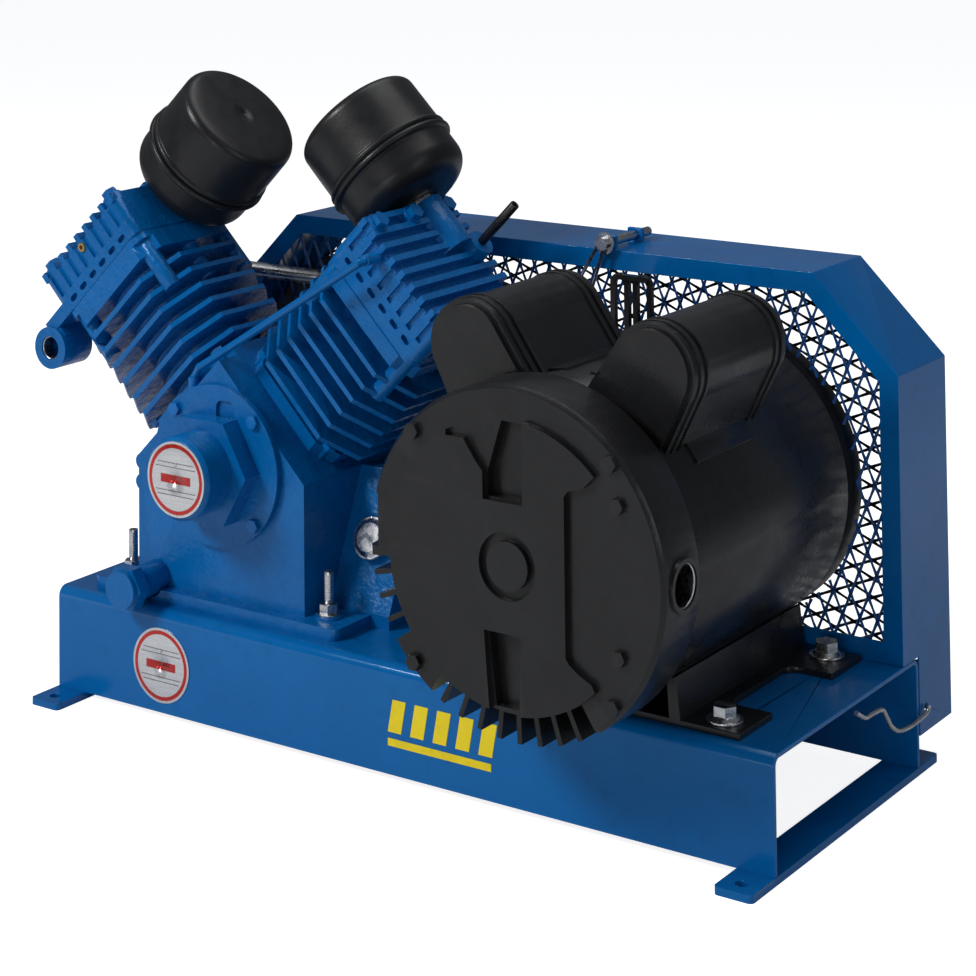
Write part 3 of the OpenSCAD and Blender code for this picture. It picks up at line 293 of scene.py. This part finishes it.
for name, o in N.items():
    o.data.materials.clear()
    o.data.materials.append(M[NODE_MAT[name]])
    w = o.modifiers.new("weld", "WELD")
    w.merge_threshold = 0.00002
    if name in BEVEL:
        b = o.modifiers.new("edges", "BEVEL")
        b.width = BEVEL[name]
        b.segments = SEGMENTS.get(name, 2)
        b.limit_method = "ANGLE"
        b.angle_limit = math.radians(32)
        b.use_clamp_overlap = True
        b.harden_normals = True


# ------------------------------------------------------------------ mesh helpers
def make(name, verts, faces, mat, smooth=True):
    me = bpy.data.meshes.new(name)
    me.from_pydata([tuple(v) for v in verts], [], faces)
    me.validate()
    bm = bmesh.new()
    bm.from_mesh(me)
    bmesh.ops.recalc_face_normals(bm, faces=bm.faces)
    bm.to_mesh(me)
    bm.free()
    o = bpy.data.objects.new(name, me)
    bpy.context.scene.collection.objects.link(o)
    me.materials.append(mat)
    if smooth:
        for p in me.polygons:
            p.use_smooth = True
    return o


def sharp_by_angle(o, deg=35):
    me = o.data
    bm = bmesh.new()
    bm.from_mesh(me)
    for e in bm.edges:
        if len(e.link_faces) == 2:
            e.smooth = e.calc_face_angle(0) < math.radians(deg)
    bm.to_mesh(me)
    bm.free()


def lathe(name, profile, matrix, mat, seg=128):
    """Closed shell from a profile of (radius, height) points, about the local Z axis; the profile runs outside then back inside."""
    verts, faces = [], []
    n = len(profile)
    for i in range(seg):
        a = 2 * math.pi * i / seg
        for r, z in profile:
            verts.append(matrix @ Vector((r * math.cos(a), r * math.sin(a), z)))
    for i in range(seg):
        j = (i + 1) % seg
        for k in range(n):
            k2 = (k + 1) % n
            faces.append((i * n + k, j * n + k, j * n + k2, i * n + k2))
    return make(name, verts, faces, mat)


def arc(cx, cz, r, a0, a1, n=8):
    return [(cx + r * math.cos(math.radians(a0 + (a1 - a0) * i / n)), cz + r * math.sin(math.radians(a0 + (a1 - a0) * i / n))) for i in range(n + 1)]


def tube(name, pts, r, mat, closed=False, seg=14, steps=6):
    """Smooth round wire through points (Catmull-Rom), with closed ends."""
    P = [Vector(p) for p in pts]
    if not closed:
        P = [P[0] * 2 - P[1]] + P + [P[-1] * 2 - P[-2]]
    line = []
    count = len(P)
    spans = range(count) if closed else range(1, count - 2)
    for i in spans:
        p0, p1, p2, p3 = P[(i - 1) % count], P[i % count], P[(i + 1) % count], P[(i + 2) % count]
        for s in range(steps):
            t = s / steps
            line.append(0.5 * ((2 * p1) + (p2 - p0) * t + (2 * p0 - 5 * p1 + 4 * p2 - p3) * t * t + (3 * p1 - p0 - 3 * p2 + p3) * t ** 3))
    if not closed:
        line.append(P[-2].copy())
    verts, faces = [], []
    up = Vector((0.31, 0.2, 0.93)).normalized()
    m = len(line)
    for i, p in enumerate(line):
        if closed:
            d = (line[(i + 1) % m] - line[i - 1]).normalized()
        else:
            d = (line[min(i + 1, m - 1)] - line[max(i - 1, 0)]).normalized()
        x = up - d * up.dot(d)
        x.normalize()
        up = x
        y = d.cross(x)
        for k in range(seg):
            a = 2 * math.pi * k / seg
            verts.append(p + (x * math.cos(a) + y * math.sin(a)) * r)
    for i in range(m if closed else m - 1):
        for k in range(seg):
            a, b = i * seg, ((i + 1) % m) * seg
            faces.append((a + k, a + (k + 1) % seg, b + (k + 1) % seg, b + k))
    if not closed:
        faces.append(tuple(range(seg)))
        faces.append(tuple(range((m - 1) * seg, m * seg)))
    o = make(name, verts, faces, mat)
    sharp_by_angle(o, 60)
    return o


def prism(name, loops, mat, closed_ends=True):
    """Skin through equal-length closed loops of points."""
    verts, faces = [], []
    n = len(loops[0])
    for lp in loops:
        verts += [Vector(p) for p in lp]
    for i in range(len(loops) - 1):
        for k in range(n):
            a, b = i * n, (i + 1) * n
            faces.append((a + k, a + (k + 1) % n, b + (k + 1) % n, b + k))
    if closed_ends:
        faces.append(tuple(range(n)))
        faces.append(tuple(range((len(loops) - 1) * n, len(loops) * n)))
    return make(name, verts, faces, mat)


# ------------------------------------------------------------------ places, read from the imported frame
gf0, gf1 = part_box("guard_frame")
mf0, mf1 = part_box("guard_mesh_front")
mr0, mr1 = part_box("guard_mesh_rear")
sh0, sh1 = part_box("motor_shell")
mx, mz, shell_r = (sh0.x + sh1.x) / 2, (sh0.z + sh1.z) / 2, (sh1.x - sh0.x) / 2
fc0, fc1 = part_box("front_cover")
px, pz = (fc0.x + fc1.x) / 2, (fc0.z + fc1.z) / 2
bc0, bc1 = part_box("base_channel")


# ------------------------------------------------------------------ expanded metal
def clip_convex(p, q, poly):
    """Part of the 2-D segment inside a convex anticlockwise polygon, or None."""
    t0, t1 = 0.0, 1.0
    d = (q[0] - p[0], q[1] - p[1])
    for i in range(len(poly)):
        a, b = poly[i], poly[(i + 1) % len(poly)]
        nx, ny = -(b[1] - a[1]), b[0] - a[0]
        num = nx * (p[0] - a[0]) + ny * (p[1] - a[1])
        den = nx * d[0] + ny * d[1]
        if abs(den) < 1e-12:
            if num < 0:
                return None
            continue
        t = -num / den
        if den > 0:
            t0 = max(t0, t)
        else:
            t1 = min(t1, t)
        if t0 >= t1:
            return None
    return ((p[0] + d[0] * t0, p[1] + d[1] * t0), (p[0] + d[0] * t1, p[1] + d[1] * t1))


def outside_circle(seg, c, r):
    """The longer part of a segment outside a circle, or None."""
    (x0, y0), (x1, y1) = seg
    dx, dy = x1 - x0, y1 - y0
    fx, fy = x0 - c[0], y0 - c[1]
    A, B, Cc = dx * dx + dy * dy, 2 * (fx * dx + fy * dy), fx * fx + fy * fy - r * r
    disc = B * B - 4 * A * Cc
    if disc <= 0:
        return seg
    s = math.sqrt(disc)
    ta, tb = (-B - s) / (2 * A), (-B + s) / (2 * A)
    if tb <= 0 or ta >= 1:
        return seg
    first, last = max(0.0, ta), max(0.0, 1 - tb)
    if first < 0.02 and last < 0.02:
        return None
    if first >= last:
        return ((x0, y0), (x0 + dx * first, y0 + dy * first))
    return ((x0 + dx * (1 - last), y0 + dy * (1 - last)), (x1, y1))


def expanded(name, poly, y, cell_x, cell_z, holes, mat, width=0.0022, thick=0.0013):
    """Expanded metal: rows of diamonds with twisted strands and flattened knuckles."""
    xs, zs = [p[0] for p in poly], [p[1] for p in poly]
    x0, x1, z0, z1 = min(xs), max(xs), min(zs), max(zs)
    verts, faces = [], []
    long_z = cell_z > cell_x
    ni, nj = int((x1 - x0) / (cell_x / 2)) + 3, int((z1 - z0) / (cell_z / 2)) + 3
    for i in range(-1, ni):
        for j in range(-1, nj):
            if (i + j) % 2:
                continue
            c = (x0 + i * cell_x / 2, z0 + j * cell_z / 2)
            for sx, sz in ((1, 1), (1, -1)):
                seg = (c, (c[0] + sx * cell_x / 2, c[1] + sz * cell_z / 2))
                seg = clip_convex(seg[0], seg[1], poly)
                for h, hr in holes:
                    if seg:
                        seg = outside_circle(seg, h, hr)
                if not seg:
                    continue
                a, b = Vector((seg[0][0], 0, seg[0][1])), Vector((seg[1][0], 0, seg[1][1]))
                if (b - a).length < 0.0012:
                    continue
                d = (b - a).normalized()
                side = Vector((d.z, 0, -d.x))
                tilt = 0.55 * (1 if sz > 0 else -1)   # strands stand slightly on edge
                n1 = (side * math.cos(tilt) + Vector((0, 1, 0)) * math.sin(tilt))
                n2 = d.cross(n1)
                a, b = a - d * width * 0.45, b + d * width * 0.45
                base = len(verts)
                for p, wmul in ((a, 1.25), (a.lerp(b, 0.5), 0.85), (b, 1.25)):
                    for u, v in ((-1, -1), (1, -1), (1, 1), (-1, 1)):
                        verts.append(Vector((0, y, 0)) + p + n1 * u * width / 2 * wmul + n2 * v * thick / 2)
                for s in range(2):
                    for k in range(4):
                        faces.append((base + s * 4 + k, base + s * 4 + (k + 1) % 4, base + s * 4 + 4 + (k + 1) % 4, base + s * 4 + 4 + k))
                faces.append((base, base + 1, base + 2, base + 3))
                faces.append((base + 8, base + 9, base + 10, base + 11))
    o = make(name, verts, faces, mat, smooth=False)
    return o


def window(lo, hi, cl, cr, edge):
    """Anticlockwise outline (x, z) with the two top corners cut."""
    x0, x1, z0, z1 = lo.x + edge, hi.x - edge, lo.z + edge, hi.z - edge
    return [(x0, z0), (x1, z0), (x1, z1 - cr), (x1 - cr, z1), (x0 + cl, z1), (x0, z1 - cl)]


w_front = window(mf0, mf1, 0.0905, 0.0695, 0.0005)
front = expanded("guard_mesh_front_expanded", w_front, (mf0.y + mf1.y) / 2 + 0.0006, 0.0155, 0.036,
                 [((mx, mz), shell_r + 0.0035), ((px, pz), 0.046)], M["mesh_blue"])
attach(front, "root"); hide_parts("guard_mesh_front")
w_rear = window(mr0, mr1, 0.0905, 0.0695, 0.0005)
# the rear mesh takes the near-black painted-shade colour
rear = expanded("guard_mesh_rear_expanded", w_rear, (mr0.y + mr1.y) / 2 - 0.0006, 0.036, 0.0155, [], M["rear_mesh_painted_shade"])
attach(rear, "root"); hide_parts("guard_mesh_rear")


# ------------------------------------------------------------------ intake filters, lathed with crimped seam
def filter_matrix(side):
    """Axis of the canister (the local Z below), its centre depth, and the x-z extent of pan and cover."""
    b0, b1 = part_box("filter_base_left" if side < 0 else "filter_base_right")
    t0, t1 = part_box("filter_cover_left" if side < 0 else "filter_cover_right")
    axis = Vector((C45 if side < 0 else -C45, 0, C45))
    cy = (t0.y + t1.y) / 2
    # the canister's bounding box fixes its centre line: both pans share it
    lo, hi = Vector((min(b0.x, t0.x), 0, min(b0.z, t0.z))), Vector((max(b1.x, t1.x), 0, max(b1.z, t1.z)))
    return axis, cy, lo, hi


for side, tag in ((-1, "left"), (1, "right")):
    cov, pan = N["filter_cover_" + tag], N["filter_base_" + tag]
    axis, cy, lo, hi = filter_matrix(side)
    # project the CAD vertices on the axis, to find the ends and the centre line
    perp = Vector((-axis.z, 0, axis.x))
    pts = [v.co for v in cov.data.vertices]
    smax = max(p.dot(axis) for p in pts)
    smin = min(p.dot(axis) for p in pts)
    pc = (max(p.dot(perp) for p in pts) + min(p.dot(perp) for p in pts)) / 2
    ring = (max(p.dot(perp) for p in pts) - min(p.dot(perp) for p in pts)) / 2
    bmin = min(v.co.dot(axis) for v in pan.data.vertices)
    centre = perp * pc + Vector((0, cy, 0))
    rot = Matrix((perp, Vector((0, 1, 0)).cross(Vector((0, 0, 0))) if False else axis.cross(perp), axis)).transposed().to_4x4()
    mat4 = Matrix.Translation(centre) @ rot
    R = ring - 0.0022
    # cover: slightly crowned top, rolled shoulder, straight wall, crimped bead at the rim
    H0, H1 = smin, smax
    prof = [(0.0004, H1 - 0.0002)] + [(r, H1 - 0.0002 - 0.0016 * (r / R) ** 2) for r in (0.012, 0.024, 0.034, 0.042, 0.047)]
    prof += arc(R - 0.0095, H1 - 0.0112, 0.0095, 86, 0, 10)
    prof += [(R + 0.0001, H1 - 0.03), (R + 0.0002, H0 + 0.0085)]
    prof += arc(R - 0.0004, H0 + 0.0048, 0.0028, 75, -75, 8)
    prof += [(R + 0.0004, H0 + 0.0006), (R - 0.0018, H0 + 0.0004), (R - 0.0018, H1 - 0.014)]
    prof += [(R - 0.008, H1 - 0.004), (0.0004, H1 - 0.0026)]
    c = lathe("intake_filter_cover_" + tag, prof, mat4, M["filter"])
    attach(c, "root"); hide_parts("filter_cover_" + tag)
    # pan: pressed dome with a step and a wide rolled rim under the cover
    B0 = bmin
    prof = [(0.0132, B0 + 0.0022), (0.0136, B0 - 0.0000), (0.020, B0 + 0.0001), (0.024, B0 + 0.0008), (0.030, B0 + 0.0012), (0.036, B0 + 0.0022)]
    prof += arc(R - 0.0205, B0 + 0.0215, 0.0195, -82, 0, 12)
    prof += [(R - 0.0009, H0 - 0.006), (R - 0.0006, H0 - 0.0045)]
    prof += arc(R + 0.0004, H0 - 0.0018, 0.0030, -80, 80, 8)
    prof += [(R - 0.0022, H0 + 0.0012), (R - 0.0022, B0 + 0.022)]
    prof += [(R - 0.009, B0 + 0.008), (0.036, B0 + 0.0038), (0.020, B0 + 0.002)]
    b = lathe("intake_filter_pan_" + tag, prof, mat4, M["filter"])
    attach(b, "root"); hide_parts("filter_base_" + tag)

# ------------------------------------------------------------------ wires
g0, g1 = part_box("hairpin_clip")
X = g1.x - 0.0019
def yz(y, z):
    return (X, y, z)
clip = tube("hairpin_clip_wire", [yz(g0.y + 0.0022, g1.z - 0.0022), yz(0.010, 0.0825), yz(0.020, 0.0775), yz(0.034, 0.0768), yz(0.050, 0.0745), yz(0.058, 0.066),
                                  yz(0.066, 0.0570), yz(0.078, 0.0500), yz(0.096, 0.0468), yz(0.116, 0.0466), yz(0.132, 0.0480), yz(g1.y - 0.004, 0.0515)],
            0.0019, M["zinc"])
leg = tube("hairpin_clip_leg", [(X, 0.139, 0.0500), (X - 0.006, 0.139, 0.0500), (g0.x + 0.0006, 0.139, 0.0500)], 0.0017, M["zinc"])
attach(clip, "root"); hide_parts("hairpin_clip")
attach(leg, "root"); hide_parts("hairpin_clip")

# ------------------------------------------------------------------ badge faces
def disc(name, centre, r, mat):
    prof = [(0.0002, 0.0), (r * 0.5, 0.00002), (r - 0.0012, 0.0), (r - 0.0004, -0.0003), (r - 0.0004, -0.0006), (0.0002, -0.0006)]
    o = lathe(name, prof, Matrix.Identity(4), mat, 96)
    o.matrix_world = Matrix.Translation(centre) @ Matrix.Rotation(math.radians(90), 4, "X")
    return o


bd0, bd1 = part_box("badges")
for tag, cx, cz, yf in (("pump", px, pz, bd0.y), ("base", -0.2342, 0.0462, bc0.y - 0.0008)):
    d = disc("badge_face_" + tag, Vector((cx, yf - 0.0001, cz)), 0.0314, M["badge"])
    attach(d, "root")
    rivet = lathe("badge_rivet_" + tag, [(0.00005, 0.0011), (0.0009, 0.0008), (0.0014, 0.0), (0.00005, 0.0)], Matrix.Translation((cx, yf - 0.0001, cz + 0.012)) @ Matrix.Rotation(math.radians(90), 4, "X"), M["badge_rim"], 20)
    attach(rivet, "root")

# ------------------------------------------------------------------ cut threads in the two open ports
for m in frame["record"]["mounts"]:
    if m["name"] in ("conduit_entry", "discharge_port"):
        r = m["dims"]["r_mm"] / 1000 - 0.00008
        mat4 = Matrix.Translation(Vector(m["pos_m"])) @ Vector(m["axis"]).to_track_quat("Z", "Y").to_matrix().to_4x4()
        z1, pitch, turns = (-0.0015, 0.0021, 8) if m["name"] == "conduit_entry" else (0.0015, 0.0018, 7)
        prof = [(r, z1), (r, z1 - pitch * turns)]
        for i in range(turns, 0, -1):
            prof.append((r - 0.0003, z1 - pitch * i + 0.0002))
            prof.append((r - 0.0013, z1 - pitch * (i - 0.5)))
        prof.append((r - 0.0003, z1 - 0.0001))
        th = lathe("thread_" + m["name"], prof, mat4, M["zinc"], 72)
        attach(th, "root")

# ------------------------------------------------------------------ stage, light and camera
def floor():
    k = Net("studio_floor")
    k.set("Base Color", k.mix(k.noise(1.5, 2.0, 0.5), (0.72, 0.725, 0.735), (0.76, 0.76, 0.765)))
    k.set("Roughness", 0.75)
    k.set("Emission Color", (1, 1, 1))
    lp = k.node("ShaderNodeLightPath")
    k.set("Emission Strength", k.math("MULTIPLY", lp.outputs["Is Camera Ray"], 0.86))
    o = make("studio_floor", [(-14, -14, 0), (14, -14, 0), (14, 14, 0), (-14, 14, 0)], [(0, 1, 2, 3)], k.m, False)


floor()
world = bpy.data.worlds.new("studio")
bpy.context.scene.world = world
world.use_nodes = True
wt = world.node_tree
wt.nodes.clear()
wo = wt.nodes.new("ShaderNodeOutputWorld")
bg1 = wt.nodes.new("ShaderNodeBackground"); bg1.inputs[0].default_value = (1, 1, 1, 1); bg1.inputs[1].default_value = 1.0
bg2 = wt.nodes.new("ShaderNodeBackground"); bg2.inputs[0].default_value = (0.85, 0.9, 1.0, 1); bg2.inputs[1].default_value = 0.13
lp = wt.nodes.new("ShaderNodeLightPath")
mixn = wt.nodes.new("ShaderNodeMixShader")
wt.links.new(lp.outputs["Is Camera Ray"], mixn.inputs[0])
wt.links.new(bg2.outputs[0], mixn.inputs[1])
wt.links.new(bg1.outputs[0], mixn.inputs[2])
wt.links.new(mixn.outputs[0], wo.inputs[0])


def area(name, loc, target, sx, sy, power, col=(1, 1, 1)):
    l = bpy.data.lights.new(name, "AREA")
    l.shape = "RECTANGLE"
    l.size, l.size_y = sx, sy
    l.energy = power
    l.color = col
    o = bpy.data.objects.new(name, l)
    bpy.context.scene.collection.objects.link(o)
    o.location = loc
    o.rotation_euler = (Vector(target) - Vector(loc)).to_track_quat("-Z", "Y").to_euler()
    return o


area("key", (-1.5, -2.3, 2.3), (-0.05, 0, 0.25), 1.0, 0.7, 66)
area("top", (0.1, 0.5, 2.5), (0, 0, 0.2), 2.2, 1.6, 22)
area("right", (2.9, -0.6, 1.2), (0.2, 0, 0.2), 0.9, 1.8, 9, (0.95, 0.98, 1.0))
area("front_low", (0.9, -3.0, 0.5), (0.1, 0, 0.2), 1.2, 0.4, 9)

yaw, pitch, roll = math.radians(35.31), math.radians(-2.61), math.radians(-0.54)
back = Vector((math.sin(yaw) * math.cos(pitch), -math.cos(yaw) * math.cos(pitch), math.sin(pitch)))
fwd = -back
right = fwd.cross(Vector((0, 0, 1))).normalized()
up = right.cross(fwd)
r2 = right * math.cos(roll) + up * math.sin(roll)
u2 = right * -math.sin(roll) + up * math.cos(roll)
cam_data = bpy.data.cameras.new("photo_camera")
cam_data.sensor_fit = "HORIZONTAL"
cam_data.sensor_width = 36.0
cam_data.lens = 91.81
cam_data.shift_x = 0.0582
cam_data.shift_y = -0.820
cam_data.clip_start, cam_data.clip_end = 0.05, 60
cam = bpy.data.objects.new("photo_camera", cam_data)
bpy.context.scene.collection.objects.link(cam)
mw = Matrix((r2, u2, back)).transposed().to_4x4()
mw.translation = Vector((1.2220, -1.7657, 0.7876))
cam.matrix_world = mw
bpy.context.scene.camera = cam
# the lens shift belongs to the photo's standpoint only; it fades out as soon as the camera is moved round the object
anchor = bpy.data.objects.new("photo_standpoint", None)
bpy.context.scene.collection.objects.link(anchor)
anchor.location = mw.translation
for channel, shift in (("shift_x", cam_data.shift_x), ("shift_y", cam_data.shift_y)):
    curve = cam_data.driver_add(channel)
    for m in list(curve.modifiers):
        curve.modifiers.remove(m)
    curve.driver.type = "AVERAGE"
    v = curve.driver.variables.new()
    v.type = "LOC_DIFF"
    v.targets[0].id, v.targets[1].id = cam, anchor
    for at, value in ((0.0, shift), (0.02, 0.0), (1.0, 0.0)):
        kp = curve.keyframe_points.insert(at, value)
        kp.interpolation = "LINEAR"
    curve.extrapolation = "CONSTANT"
bpy.context.scene.view_settings.view_transform = "Standard"

import json
